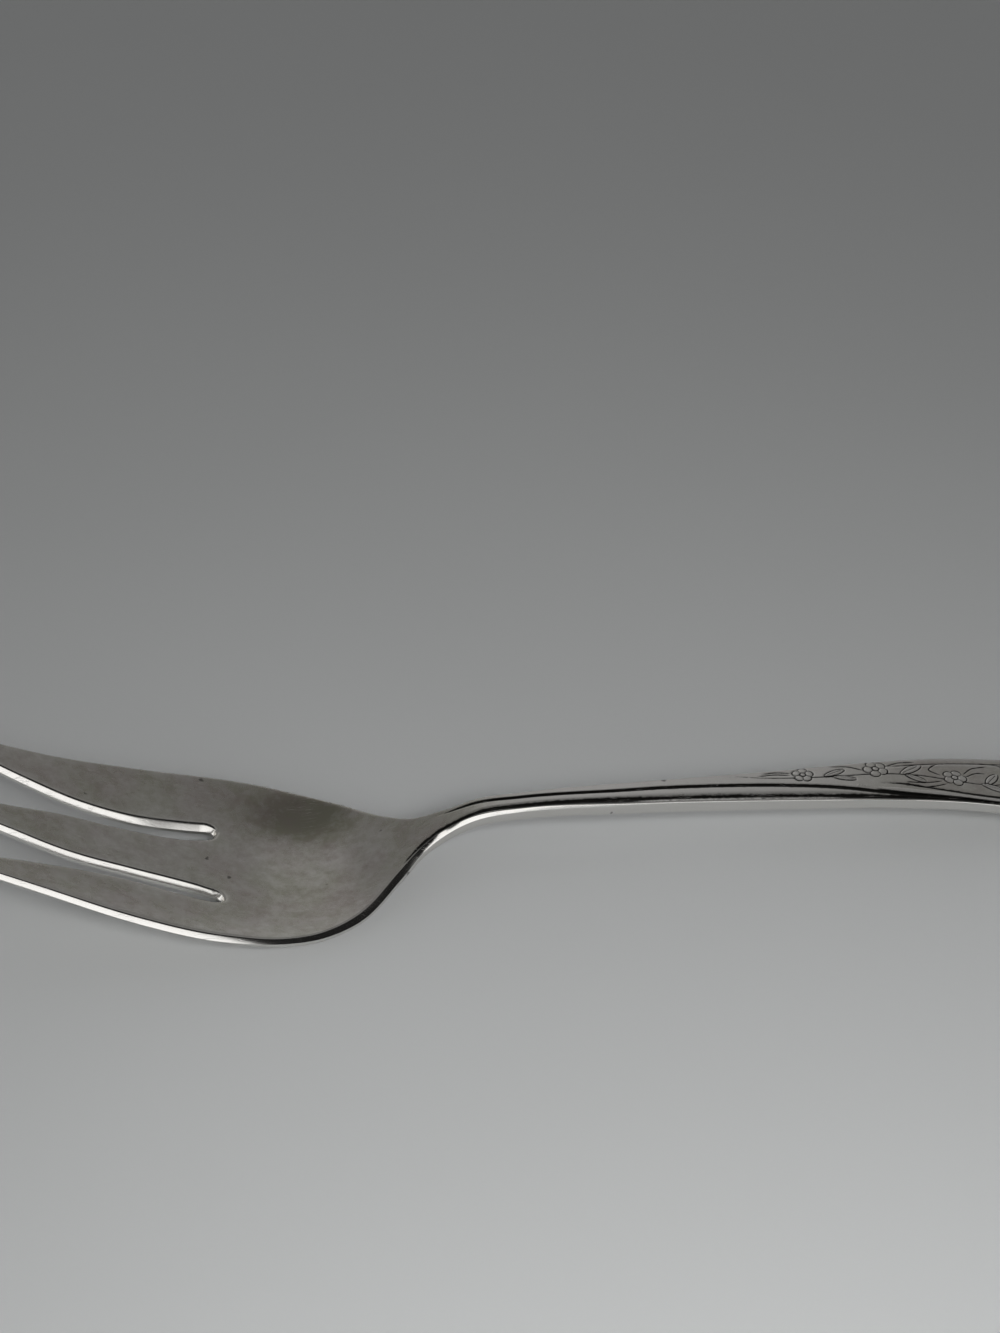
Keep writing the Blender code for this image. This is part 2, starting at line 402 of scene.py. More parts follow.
# Blossoms of the handle's panel: place, radius and turn.
BLOSSOMS = (
    (31.2, 2.35, 1.75, 10.0), (43.4, 3.0, 2.05, 40.0), (56.0, 0.4, 2.0, 65.0),
    (67.5, 2.7, 2.25, 20.0), (78.5, -2.4, 2.15, 50.0), (89.0, 2.3, 2.2, 5.0),
    (98.3, -1.3, 1.9, 30.0),
)
PETALS = 5
PETAL_NOTCH = 0.62
PETAL_EDGE = 0.5
HEART_SHARE = 0.27

# Leaves of the handle's panel: start, tip and half width.
LEAVES = (
    ((36.0, 1.5), (39.7, 0.5), 0.55), ((34.6, 1.7), (38.3, 3.2), 0.6),
    ((47.2, 1.5), (51.2, 3.7), 0.75), ((48.0, 1.3), (51.0, -0.7), 0.6),
    ((60.2, -0.9), (64.4, -2.9), 0.7), ((61.0, -1.0), (63.6, 1.9), 0.75),
    ((72.2, 0.5), (74.9, 3.6), 0.8), ((71.6, 0.6), (73.9, -2.0), 0.75),
    ((83.2, -0.9), (86.0, -3.6), 0.8), ((82.6, -0.9), (84.8, 1.7), 0.75),
    ((93.4, 0.5), (96.0, 3.0), 0.75), ((93.0, 0.5), (94.2, -2.5), 0.7),
)
VEIN_RUN = (0.1, 0.85)

# Strokes between them, and the scroll along the near side with its own heavier line.
VINE = (
    (20.5, 2.7), (25.5, 1.9), (31.2, 1.6), (37.0, 1.5), (43.2, 1.7), (49.5, 1.2), (55.8, -0.4),
    (62.0, -1.1), (67.5, 0.2), (73.0, 0.6), (78.5, -1.0), (84.0, -0.9), (89.0, 0.7), (94.0, 0.4),
    (98.3, -0.7),
)
SPRAYS = (
    ((29.3, 2.9), (27.0, 3.3), (24.8, 3.05)), ((29.2, 2.4), (26.6, 2.75), (24.0, 2.5)),
    ((41.4, 2.7), (38.9, 3.9), (36.2, 4.1)), ((45.2, 3.6), (47.6, 4.5), (50.4, 4.6)),
    ((53.9, 0.9), (52.2, 2.5), (54.0, 4.1)), ((57.6, 1.3), (59.6, 3.1), (62.4, 3.9)),
    ((57.9, 0.7), (60.2, 1.9), (61.6, 1.9)), ((53.8, -0.5), (51.2, -0.9), (47.6, -0.6)),
    ((54.4, -1.2), (51.8, -1.9), (48.6, -1.7)), ((65.6, 3.8), (63.8, 4.6), (61.2, 4.8)),
    ((69.6, 3.6), (71.8, 5.0), (74.6, 5.2)), ((76.6, -3.2), (73.6, -4.2), (70.6, -3.8)),
    ((80.6, -3.2), (83.0, -4.9), (86.2, -5.0)), ((87.0, 3.4), (84.6, 4.8), (81.4, 4.6)),
    ((91.0, 3.0), (92.8, 4.4), (95.6, 4.2)), ((96.6, -2.2), (94.0, -4.0), (90.8, -3.8)),
)
SCROLL = (
    (39.5, -0.95), (43.1, -2.1), (46.3, -2.68), (49.4, -3.35), (52.7, -3.82), (55.8, -4.38),
    (59.0, -4.85), (62.3, -5.2), (67.0, -5.75), (71.0, -6.3),
)
SCROLL_HALF_WIDTH = 0.62
SCROLL_HEIGHT = 0.14
SCROLL_LINE = (
    (43.6, -0.7), (47.4, -1.15), (49.7, -1.8), (52.8, -2.67), (56.0, -3.38), (59.2, -3.9),
    (62.5, -4.25), (67.0, -4.8), (72.0, -5.7),
)
SCROLL_LINE_WIDTH = 2.0
SCROLL_LINE_DEPTH = 1.2

# Border line and the bead inside it: distance from the outline, and where they start and fade in.
BORDER_IN = 1.55
BEAD_IN = 2.15
BEAD_WIDTH = 0.3
BORDER_START = 44.0
NEAR_BORDER_START = 74.0
BORDER_FADE = 4.0

# Cut lines: points along each, how it thins out at its ends, and how far each kind spreads.
CURVE_POINTS = 48
LINE_RISE = 4.0
LINE_END = 0.35
LINE_SPREAD = 0.55
RIM_SPREAD = 0.5
SEAM_SPREAD = 0.4
VEIN_SPREAD = 0.35
SEAM_DEPTH = 0.8
VEIN_DEPTH = 0.7

# How far out a feature is worked, against its own width or radius, and the thinnest band.
LINE_REACH = 3.0
BAND_REACH = 2.0
BLOSSOM_REACH = 1.4
LEAF_REACH = 2.0
THINNEST_BAND = 0.05


def curve_through(points):
    """Evenly spaced points along a smooth plan curve."""
    points = np.array(points, dtype=float)
    length = np.concatenate([[0.0], np.cumsum(np.hypot(*np.diff(points, axis=0).T))])
    at = np.linspace(0.0, length[-1], CURVE_POINTS)
    curves = [np.column_stack([length, points[:, k]]) for k in (0, 1)]
    return np.column_stack([smooth(curve, at) for curve in curves])


class Relief:
    """Height and shade stamped into the upper side, gathered feature by feature."""

    def __init__(self, x, y):
        self.x = x
        self.y = y
        self.height = np.zeros_like(x)
        self.recess = np.zeros_like(x)
        self.cover = np.zeros_like(x)

    def around(self, low, high, margin):
        """Points in the box between two corners, widened by a margin."""
        return np.nonzero(
            (self.x > low[0] - margin) & (self.x < high[0] + margin)
            & (self.y > low[1] - margin) & (self.y < high[1] + margin)
        )[0]

    def nearest(self, points, margin):
        """Points near a curve, their distance to it and the share of its length they lie at."""
        line = curve_through(points)
        index = self.around(line.min(axis=0), line.max(axis=0), margin)
        start = line[:-1]
        run = np.diff(line, axis=0)
        to_x = self.x[index][:, None] - start[:, 0]
        to_y = self.y[index][:, None] - start[:, 1]
        t = np.clip((to_x * run[:, 0] + to_y * run[:, 1]) / (run ** 2).sum(axis=1), 0.0, 1.0)
        gap = np.hypot(to_x - t * run[:, 0], to_y - t * run[:, 1])
        best = gap.argmin(axis=1)
        pick = np.arange(len(index))
        return index, gap[pick, best], (best + t[pick, best]) / len(run)

    def cut(self, index, amount, depth):
        """Sink points and shade them by the same share."""
        self.height[index] -= depth * amount
        self.recess[index] = np.maximum(self.recess[index], amount)

    def line(self, points, width, depth):
        """A cut line that thins out towards both ends and passes under blossoms and leaves."""
        index, gap, share = self.nearest(points, LINE_REACH * width)
        taper = np.clip(LINE_RISE * np.minimum(share, 1.0 - share) + LINE_END, 0.0, 1.0)
        amount = taper * np.exp(-(gap / (LINE_SPREAD * width)) ** 2)
        self.cut(index, amount * (1.0 - self.cover[index]), depth)

    def band(self, points, half_width, height):
        """A raised rounded band that grows from a point."""
        index, gap, share = self.nearest(points, BAND_REACH * half_width)
        half = np.maximum(half_width * ease(share * LINE_RISE), THINNEST_BAND)
        inside = np.clip(1.0 - (gap / half) ** 2, 0.0, 1.0)
        self.height[index] += height * inside

    def blossom(self, centre, radius, turn, width, depth, height):
        """Five rounded petals round a small dome."""
        index = self.around(centre, centre, BLOSSOM_REACH * radius)
        from_x = self.x[index] - centre[0]
        from_y = self.y[index] - centre[1]
        out = np.hypot(from_x, from_y)
        angle = np.arctan2(from_y, from_x) - math.radians(turn)
        lobe = np.abs(np.cos(angle * PETALS / 2.0))
        rim = radius * (PETAL_NOTCH + (1.0 - PETAL_NOTCH) * np.sqrt(lobe))
        heart = HEART_SHARE * radius
        inside = np.clip((rim - out) / width, 0.0, 1.0)
        petal = np.clip(out / rim, 0.0, 1.0)
        arch = 4.0 * petal * (1.0 - petal)
        self.height[index] += height * inside * (PETAL_EDGE + (1.0 - PETAL_EDGE) * arch)
        edge = np.exp(-((out - rim) / (RIM_SPREAD * width)) ** 2)
        seam_gap = out * lobe * 2.0 / PETALS
        seam = np.exp(-(seam_gap / (SEAM_SPREAD * width)) ** 2) * (out > heart) * (out < rim)
        ring = np.exp(-((out - heart) / (RIM_SPREAD * width)) ** 2)
        self.cut(index, np.maximum(np.maximum(edge, SEAM_DEPTH * seam), ring), depth)
        self.height[index] += height * np.clip(1.0 - (out / heart) ** 2, 0.0, 1.0)
        covered = np.clip((rim + SEAM_SPREAD * width - out) / width, 0.0, 1.0)
        self.cover[index] = np.maximum(self.cover[index], covered)

    def leaf(self, start, tip, half_width, width, depth, height):
        """An almond leaf with a middle vein."""
        index, gap, share = self.nearest((start, tip), LEAF_REACH * half_width)
        rim = half_width * np.sqrt(np.clip(np.sin(math.pi * np.clip(share, 0.0, 1.0)), 0.0, 1.0))
        inside = np.clip((rim - gap) / width, 0.0, 1.0)
        self.height[index] += height * inside
        edge = np.exp(-((gap - rim) / (RIM_SPREAD * width)) ** 2) * (share > 0.0) * (share < 1.0)
        vein = VEIN_DEPTH * np.exp(-(gap / (VEIN_SPREAD * width)) ** 2)
        vein *= (share > VEIN_RUN[0]) * (share < VEIN_RUN[1])
        free = 1.0 - self.cover[index]
        self.cut(index, np.maximum(edge, vein) * free, depth)
        self.cover[index] = np.maximum(self.cover[index], inside)


def flute(x, y, stations, soft_side):
    """Depth share of a flute that rises softly to one side, and the place across it."""
    table = np.array(stations)
    at = table[:, 0]
    middle, half, share = (smooth(np.column_stack([at, table[:, k]]), x) for k in (1, 2, 3))
    across = soft_side * (y - middle) / half
    crisp = 1.0 - np.clip(across, -1.0, 0.0) ** 2
    soft = (1.0 - np.clip(across / FLUTE_SOFTNESS, 0.0, 1.0)) ** 2
    within = (x > at[0]) & (x < at[-1])
    return np.where(within, np.where(across > 0.0, soft, crisp) * share, 0.0), across


def stamped_relief(x, y, edge, shape):
    """Flutes, scroll, border line and flowers of the handle's upper side."""
    relief = Relief(x, y)
    width = shape.line_width / MM
    depth = shape.line_depth / MM
    height = shape.petal_height / MM
    for at_x, at_y, radius, turn in BLOSSOMS:
        relief.blossom((at_x, at_y), radius, turn, width, depth, height)
    for start, tip, half_width in LEAVES:
        relief.leaf(start, tip, half_width, width, depth, height)
    for stroke in SPRAYS:
        relief.line(stroke, width, depth)
    relief.line(VINE, width, depth)
    relief.band(SCROLL, SCROLL_HALF_WIDTH, SCROLL_HEIGHT)
    relief.line(SCROLL_LINE, SCROLL_LINE_WIDTH * width, SCROLL_LINE_DEPTH * depth)
    near_side = np.where(y < 0.0, ease((x - NEAR_BORDER_START) / BORDER_FADE), 1.0)
    bordered = ease((x - BORDER_START) / BORDER_FADE) * near_side
    relief.height += bordered * height * np.exp(-((edge - BEAD_IN) / BEAD_WIDTH) ** 2)
    border = np.exp(-((edge - BORDER_IN) / (RIM_SPREAD * width)) ** 2)
    relief.cut(np.arange(len(x)), bordered * border, depth)
    far_flute, _ = flute(x, y, FAR_FLUTE, -1.0)
    near_flute, across = flute(x, y, NEAR_FLUTE, 1.0)
    flutes = np.maximum(far_flute, near_flute)
    relief.height *= 1.0 - flutes
    relief.height -= flutes * shape.flute_depth / MM
    start, finish = RUBBED_FLUTE
    rubbed = ease((x - start) / RUBBED_FADE) * ease((finish - x) / RUBBED_FADE)
    streak = np.exp(-((across - STREAK_AT) / STREAK_WIDTH) ** 2)
    rubbed *= (near_flute > far_flute) * (RUBBED_SHARE + STREAK_SHARE * streak)
    # Flutes are painted dark by depth: partly patina in the hollow, partly painted shade of the
    # rounded ridge; rubbing lightens it.
    shade = np.clip(FLUTE_PATINA_AND_SHADE * flutes, 0.0, 1.0) * (1.0 - rubbed)
    relief.recess = np.maximum(relief.recess * (1.0 - flutes), shade)
    return relief


def grid_place(vert, rows):
    """Row and column of a point while the grid is still flat."""
    return round((vert.co.x + 1.0) / 2.0 * rows), round((vert.co.y + 1.0) / 2.0 * COLUMNS)


def blank_topology(rows):
    """A flat grid with the slots taken out, given a second side and a stepped edge."""
    bm = bmesh.new()
    bmesh.ops.create_grid(bm, x_segments=rows, y_segments=COLUMNS, size=1.0)

    def in_slot(face):
        centre = face.calc_center_median()
        row = (centre.x + 1.0) / 2.0 * rows
        column = (centre.y + 1.0) / 2.0 * COLUMNS
        return row < SLOT_ROOT_ROW and any(a < column < b for a, b in (NEAR_SLOT, FAR_SLOT))

    bmesh.ops.delete(bm, geom=[face for face in bm.faces if in_slot(face)], context="FACES")
    extruded = bmesh.ops.extrude_face_region(bm, geom=bm.faces[:], use_keep_orig=True)
    back = [item for item in extruded["geom"] if isinstance(item, bmesh.types.BMVert)]
    bmesh.ops.translate(bm, verts=back, vec=(0.0, 0.0, -1.0))

    plain_row = SLOT_ROOT_ROW + RIM_STEPS
    coarse_row = plain_row + BOWL_ROWS + NECK_ROWS + SHANK_ROWS

    def spare(edge):
        """Whether an edge of the back is left out, because the back is plain there."""
        if any(vert.co.z > -0.5 for vert in edge.verts):
            return False
        across, along = zip(*(grid_place(vert, rows) for vert in edge.verts))
        inside = RIM_STEPS + 1 < along[0] < COLUMNS - RIM_STEPS - 1
        lengthways = along[0] == along[1] and along[0] % BACK_COLUMN_STEP
        crossways = across[0] == across[1] and across[0] % BACK_ROW_STEP
        past_slots = inside and min(across) > plain_row
        on_panel = coarse_row < across[0] < rows - RIM_STEPS - 1
        return (lengthways and past_slots) or (crossways and on_panel)

    bmesh.ops.dissolve_edges(bm, edges=[edge for edge in bm.edges if spare(edge)], use_verts=True)
    uprights = [edge for edge in bm.edges if abs(edge.verts[0].co.z - edge.verts[1].co.z) > 0.5]
    bmesh.ops.subdivide_edges(bm, edges=uprights, cuts=EDGE_STEPS - 1)
    return bm


# Painted dark reflection at the far back of the bowl, put in as thicker film: its place, reach
# along X and Y, and amount.
DARK_REFLECTION_PATCH = (-48.0, 13.0, 9.5, 6.0, 0.7)

# How far handling has rubbed the film off, at each station.
HANDLING = (
    (TIP_X, 0.0), (-45, 0.0), (-30, 0.1), (-12, 0.8), (25, 0.85), (42, 0.6), (56, 0.1),
    (END_X, 0.2),
)

# How far in the rims are rubbed, how high relief is rubbed fully and how much, and the back's wear.
RIM_WEAR_REACH = 0.8
RAISED_HEIGHT = 0.1
RAISED_WEAR = 0.8
BACK_WEAR = 0.25


def painted_dark_reflection(x, y):
    """How much a painted dark reflection, put in as thicker film, darkens a patch at the back of
    the bowl.
    """
    at_x, at_y, length, width, amount = DARK_REFLECTION_PATCH
    return amount * math.exp(-((x - at_x) / length) ** 2 - ((y - at_y) / width) ** 2)


def formed_blank(shape):
    """The blank's mesh: plan, both sides, rounded rims and the stamped handle."""
    x, y = plan_of_blank(shape.panel_step / MM)
    edge = distance_to_outline(x, y)
    upper = upper_height(x, y) - rounded_side(x, edge)
    back = back_height(x, y) + quarter_round(edge, smooth(BACK_ROUND, x))
    recess = np.zeros_like(x)
    raised = np.zeros_like(x)
    handled = smooth(HANDLING, x)
    on_handle = x > NEAR_FLUTE[0][0]
    relief = stamped_relief(x[on_handle], y[on_handle], edge[on_handle], shape)
    fade = ease(edge[on_handle] / rim_insets(x[on_handle])[:, -1])
    upper[on_handle] += relief.height * fade
    recess[on_handle] = relief.recess * fade
    raised[on_handle] = np.clip(relief.height / RAISED_HEIGHT, 0.0, 1.0)
    rows = len(x) - 1
    bm = blank_topology(rows)
    ring = set()
    recess_layer = bm.verts.layers.float.new("recess")
    wear_and_dark_reflection_layer = bm.verts.layers.float.new("wear")
    for vert in bm.verts:
        row, column = grid_place(vert, rows)
        down = -vert.co.z
        top, bottom = upper[row, column], back[row, column]
        vert.co = (x[row, column] * MM, y[row, column] * MM, (top + (bottom - top) * down) * MM)
        near_edge = math.exp(-(edge[row, column] / RIM_WEAR_REACH) ** 2)
        if down == 0.0:
            if edge[row, column] < ON_OUTLINE:
                ring.add(vert)
            vert[recess_layer] = recess[row, column]
            worn = max(near_edge, RAISED_WEAR * raised[row, column], handled[row, column])
            # The upper side's wear also carries the painted dark reflection, as wear below nothing.
            vert[wear_and_dark_reflection_layer] = worn - painted_dark_reflection(x[row, column], y[row, column])
        else:
            vert[wear_and_dark_reflection_layer] = max(near_edge, BACK_WEAR, handled[row, column])
    for side in bm.edges:
        side.smooth = not ring.issuperset(side.verts)
    bmesh.ops.recalc_face_normals(bm, faces=bm.faces)
    return bm


# Wear blocks in the back: half length along X, half width along Y, height of the seated top.
HEEL_BLOCK = (5.0, 7.0)
HANDLE_BLOCK = (8.0, 5.4)
BLOCK_TOP = 0.85
BLOCK_SIDES = 96
BLOCK_RINGS = 10
BLOCK_RIM_ANGLE = 50.0
BLOCK_RIM_STEPS = 3
SEAT_BOTTOM = -2.0


def write_mesh(bm, mesh):
    """Put a finished bmesh into a mesh, smooth but for marked edges and those that turn far."""
    for face in bm.faces:
        face.smooth = True
    for edge in bm.edges:
        if edge.calc_face_angle(0.0) > math.radians(SHARP_ANGLE):
            edge.smooth = False
    bm.to_mesh(mesh)
    bm.free()


def new_object(name, bm):
    """Turn a finished bmesh into an object at the origin."""
    mesh = bpy.data.meshes.new(name)
    write_mesh(bm, mesh)
    obj = bpy.data.objects.new(name, mesh)
    bpy.context.scene.collection.objects.link(obj)
    return obj


def finish_piece(obj, material, slot, *nodes):
    """Give a piece its finish and set it in the place of the nodes it stands for."""
    obj.data.materials.clear()
    obj.data.materials.append(material)
    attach(obj, "root")
    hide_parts(*nodes)


def oval_cutter(name, x, half_sizes, bottom, top):
    """An upright oval block that cuts a seat."""
    bm = bmesh.new()
    bmesh.ops.create_cone(
        bm, cap_ends=True, segments=BLOCK_SIDES, radius1=1.0, radius2=1.0, depth=(top - bottom) * MM
    )
    bmesh.ops.scale(bm, vec=(half_sizes[0] * MM, half_sizes[1] * MM, 1.0), verts=bm.verts)
    bmesh.ops.translate(bm, vec=(x * MM, 0.0, (top + bottom) / 2.0 * MM), verts=bm.verts)
    return new_object(name, bm)


def cut_seats(blank, gap):
    """Sink the two oval seats for the wear blocks into the back."""
    cutters = []
    for x, sizes in ((HEEL_X, HEEL_BLOCK), (REST_X, HANDLE_BLOCK)):
        seat_sizes = [size + gap / MM for size in sizes]
        cutter = oval_cutter("seat", x, seat_sizes, SEAT_BOTTOM, BLOCK_TOP + gap / MM)
        modifier = blank.modifiers.new("Seat", "BOOLEAN")
        modifier.operation = "DIFFERENCE"
        modifier.solver = "EXACT"
        modifier.object = cutter
        cutters.append(cutter)
    evaluated = blank.evaluated_get(bpy.context.evaluated_depsgraph_get())
    cut = bpy.data.meshes.new_from_object(evaluated)
    formed = blank.data
    blank.modifiers.clear()
    blank.data = cut
    cut.name = formed.name
    bpy.data.meshes.remove(formed)
    for cutter in cutters:
        bpy.data.objects.remove(cutter, do_unlink=True)
    bm = bmesh.new()
    bm.from_mesh(cut)
    write_mesh(bm, cut)


def wear_block(name, x, half_sizes, rim):
    """An oval silver block whose face follows the back and is worn flat on the table."""
    bm = bmesh.new()
    bmesh.ops.create_circle(bm, cap_ends=True, segments=BLOCK_SIDES, radius=1.0)
    for _ in range(BLOCK_RINGS):
        inner = [face for face in bm.faces if len(face.verts) == BLOCK_SIDES]
        bmesh.ops.inset_region(
            bm, faces=inner, thickness=1.0 / (BLOCK_RINGS + 1), use_boundary=True,
            use_even_offset=True,
        )
    extruded = bmesh.ops.extrude_face_region(bm, geom=bm.faces[:], use_keep_orig=True)
    top = {item for item in extruded["geom"] if isinstance(item, bmesh.types.BMVert)}
    for vert in bm.verts:
        at_x, at_y = x + vert.co.x * half_sizes[0], vert.co.y * half_sizes[1]
        face = max(0.0, float(back_height(np.array(at_x), np.array(at_y))))
        vert.co = (at_x * MM, at_y * MM, (BLOCK_TOP if vert in top else face) * MM)
    bmesh.ops.recalc_face_normals(bm, faces=bm.faces)
    lower_rim = [
        edge for edge in bm.edges
        if top.isdisjoint(edge.verts) and edge.calc_face_angle(0.0) > math.radians(BLOCK_RIM_ANGLE)
    ]
    bmesh.ops.bevel(
        bm, geom=lower_rim, offset=rim, offset_type="OFFSET", affect="EDGES",
        segments=BLOCK_RIM_STEPS, profile=0.5, material=-1,
    )
    return new_object(name, bm)


def add_node(tree, kind, inputs=None, **settings):
    """Add a node, set its options, and set or link its inputs."""
    made = tree.nodes.new(kind)
    for name, value in settings.items():
        setattr(made, name, value)
    for name, value in (inputs or {}).items():
        socket = made.inputs[name]
        if isinstance(value, bpy.types.NodeSocket):
            tree.links.new(value, socket)
        else:
            socket.default_value = value
    return made


def math_node(tree, operation, first, second=None, clamp=False):
    """Work out one value from one or two others."""
    inputs = {0: first} if second is None else {0: first, 1: second}
    return add_node(tree, "ShaderNodeMath", inputs, operation=operation, use_clamp=clamp).outputs[0]


def product(tree, first, *others):
    """Multiply two or more values."""
    for other in others:
        first = math_node(tree, "MULTIPLY", first, other)
    return first


def mask_node(tree, value, low, high, to_low=0.0, to_high=1.0):
    """Stretch a value from low..high to a smooth mask."""
    inputs = {
        "Value": value, "From Min": low, "From Max": high, "To Min": to_low, "To Max": to_high,
    }
    made = add_node(tree, "ShaderNodeMapRange", inputs, interpolation_type="SMOOTHSTEP")
    return made.outputs["Result"]


def colour_mix(tree, share, first, second):
    """Go from one colour to another by a share."""
    made = add_node(tree, "ShaderNodeMix", {0: share, 6: first, 7: second}, data_type="RGBA")
    return made.outputs[2]


def noise_node(tree, vector, scale, detail, offset, roughness=0.55):
    """A noise pattern, moved by an offset so that no two of them match."""
    moved = add_node(tree, "ShaderNodeMapping", {"Vector": vector, "Location": offset})
    inputs = {"Vector": moved.outputs[0], "Scale": scale, "Detail": detail, "Roughness": roughness}
    return add_node(tree, "ShaderNodeTexNoise", inputs).outputs[0]


def new_group(name, inputs, outputs):
    """Start a node group, and give its tree, what it is given and what it puts out."""
    tree = bpy.data.node_groups.new(name, "ShaderNodeTree")
    for socket, kind, default in inputs:
        made = tree.interface.new_socket(socket, in_out="INPUT", socket_type="NodeSocket" + kind)
        if default is not None:
            made.default_value = default
    for socket, kind in outputs:
        tree.interface.new_socket(socket, in_out="OUTPUT", socket_type="NodeSocket" + kind)
    return tree, tree.nodes.new("NodeGroupInput").outputs, tree.nodes.new("NodeGroupOutput").inputs


# Patterns of the finish: cells to the metre, detail, offset and roughness.
FILM_CLOUD = (70.0, 3.0, (0.3, 0.1, 0.0), 0.55)
FILM_MOTTLE = (500.0, 10.0, (0.0, 0.7, 0.2), 0.72)
FILM_WARMTH = (130.0, 5.0, (0.7, 0.2, 0.5), 0.65)
STAIN_PATCHES = (210.0, 10.0, (0.9, 0.4, 0.6), 0.72)
GRIME = (1300.0, 4.0, (0.2, 0.5, 0.8), 0.55)
GRAIN = (5200.0, 3.0, (0.6, 0.1, 0.4), 0.55)

# How the patterns become film, stain and grime: the span of noise taken, and the share it gives.
NOISE_SPAN = (0.25, 0.75)
CLOUD_SHARE = (-0.15, 0.15)
MOTTLE_SHARE = (0.46, 0.86)
WARMTH_SPAN = (0.35, 0.68)
STAIN_SPAN = (0.52, 0.8)
GRIME_SPAN = (0.55, 1.0)
GRIME_SHARE = 0.7

# How much film full wear takes off, and how far the painted dark reflection (wear below nothing)
# darkens.
WEAR_SHARE = 0.9
PAINTED_PATCH_SPAN = (-0.65, -0.05, 0.3, 0.0)


def tarnish_group():
    """Film of two tints, brown stains, dark recesses of patina and painted shade, and a painted
    dark reflection over clean silver.
    """
    white = (1.0, 1.0, 1.0, 1.0)
    tints = ("Clean", "Film", "Warm Film", "Stain", "Patina And Shade")
    tree, given, put = new_group(
        "tarnish",
        (
            ("Vector", "Vector", None), ("Recess", "Float", 0.0), ("Wear", "Float", 0.0),
            ("Film Amount", "Float", 0.5), ("Stain Amount", "Float", 0.5),
            *((tint, "Color", white) for tint in tints),
        ),
        (("Colour", "Color"), ("Dullness", "Float")),
    )
    vector = given["Vector"]
    cloud = mask_node(tree, noise_node(tree, vector, *FILM_CLOUD), *NOISE_SPAN, *CLOUD_SHARE)
    mottle = mask_node(tree, noise_node(tree, vector, *FILM_MOTTLE), *NOISE_SPAN, *MOTTLE_SHARE)
    film = product(tree, math_node(tree, "ADD", cloud, mottle), given["Film Amount"])
    kept = math_node(tree, "SUBTRACT", 1.0, product(tree, given["Wear"], WEAR_SHARE))
    film = math_node(tree, "MULTIPLY", film, kept, clamp=True)
    warmth = mask_node(tree, noise_node(tree, vector, *FILM_WARMTH), *WARMTH_SPAN)
    tint = colour_mix(tree, warmth, given["Film"], given["Warm Film"])
    colour = colour_mix(tree, film, given["Clean"], tint)
    stain = mask_node(tree, noise_node(tree, vector, *STAIN_PATCHES), *STAIN_SPAN)
    stain = product(tree, stain, given["Stain Amount"])
    stain = math_node(tree, "MULTIPLY", stain, kept, clamp=True)
    colour = colour_mix(tree, stain, colour, given["Stain"])
    # Painted dark reflection: wear below nothing turns towards the patina colour.
    painted_patch = mask_node(tree, given["Wear"], *PAINTED_PATCH_SPAN)
    colour = colour_mix(tree, painted_patch, colour, given["Patina And Shade"])
    grime = product(tree, noise_node(tree, vector, *GRIME), GRIME_SHARE)
    depth = mask_node(tree, math_node(tree, "ADD", given["Recess"], grime), *GRIME_SPAN)
    colour = colour_mix(tree, depth, colour, given["Patina And Shade"])
    tree.links.new(colour, put["Colour"])
    dull = math_node(tree, "MAXIMUM", math_node(tree, "MAXIMUM", film, stain), depth)
    tree.links.new(dull, put["Dullness"])
    return tree


# Scratches: turn, strands to the metre and offset of each layer.
SCRATCHES = (
    (12.0, 2600.0, (0.1, 0.2, 0.3)), (-38.0, 2200.0, (0.5, 0.8, 0.1)),
    (71.0, 2400.0, (0.4, 0.3, 0.9)),
)
SCRATCH_STRETCH = (0.045, 1.0, 0.05)
SCRATCH_DETAIL = 2.0
SCRATCH_WIDTH = 0.012
SCRATCH_PLACES = 160.0
SCRATCH_PLACES_SPAN = (0.52, 0.7)

# Specks: cells to the metre, which cells hold one, its size and soft edge, and its ragged outline.
SPECK_CELLS = 330.0
SPECK_SPAN = (0.7, 1.0)
SPECK_SIZE = 0.19
SPECK_EDGE = 0.06
RAGGED_CELLS = 1500.0
RAGGED_DETAIL = 3.0
RAGGED_REACH = 0.9

# Heights of the marks, how far scratches bare the silver, and how far specks darken it.
GRAIN_HEIGHT = 0.35
SCRATCH_HEIGHT = 0.5
SCRATCH_BARES = 0.5
SPECK_DARKENS = 0.65
MARK_STRENGTH = 0.35
MARK_DEPTH = 0.03


def scratch_mask(tree, vector, turn, scale, offset):
    """Long thin scratches in one direction, broken up by a coarse mask."""
    rotation = (0.0, 0.0, math.radians(turn))
    turned = add_node(
        tree, "ShaderNodeMapping",
        {"Vector": vector, "Rotation": rotation, "Scale": SCRATCH_STRETCH},
    ).outputs[0]
    strands = noise_node(tree, turned, scale, SCRATCH_DETAIL, offset)
    away = math_node(tree, "ABSOLUTE", math_node(tree, "SUBTRACT", strands, 0.5))
    line = mask_node(tree, away, 0.0, SCRATCH_WIDTH, 1.0, 0.0)
    places = noise_node(tree, vector, SCRATCH_PLACES, SCRATCH_DETAIL, offset)
    return product(tree, line, mask_node(tree, places, *SCRATCH_PLACES_SPAN))


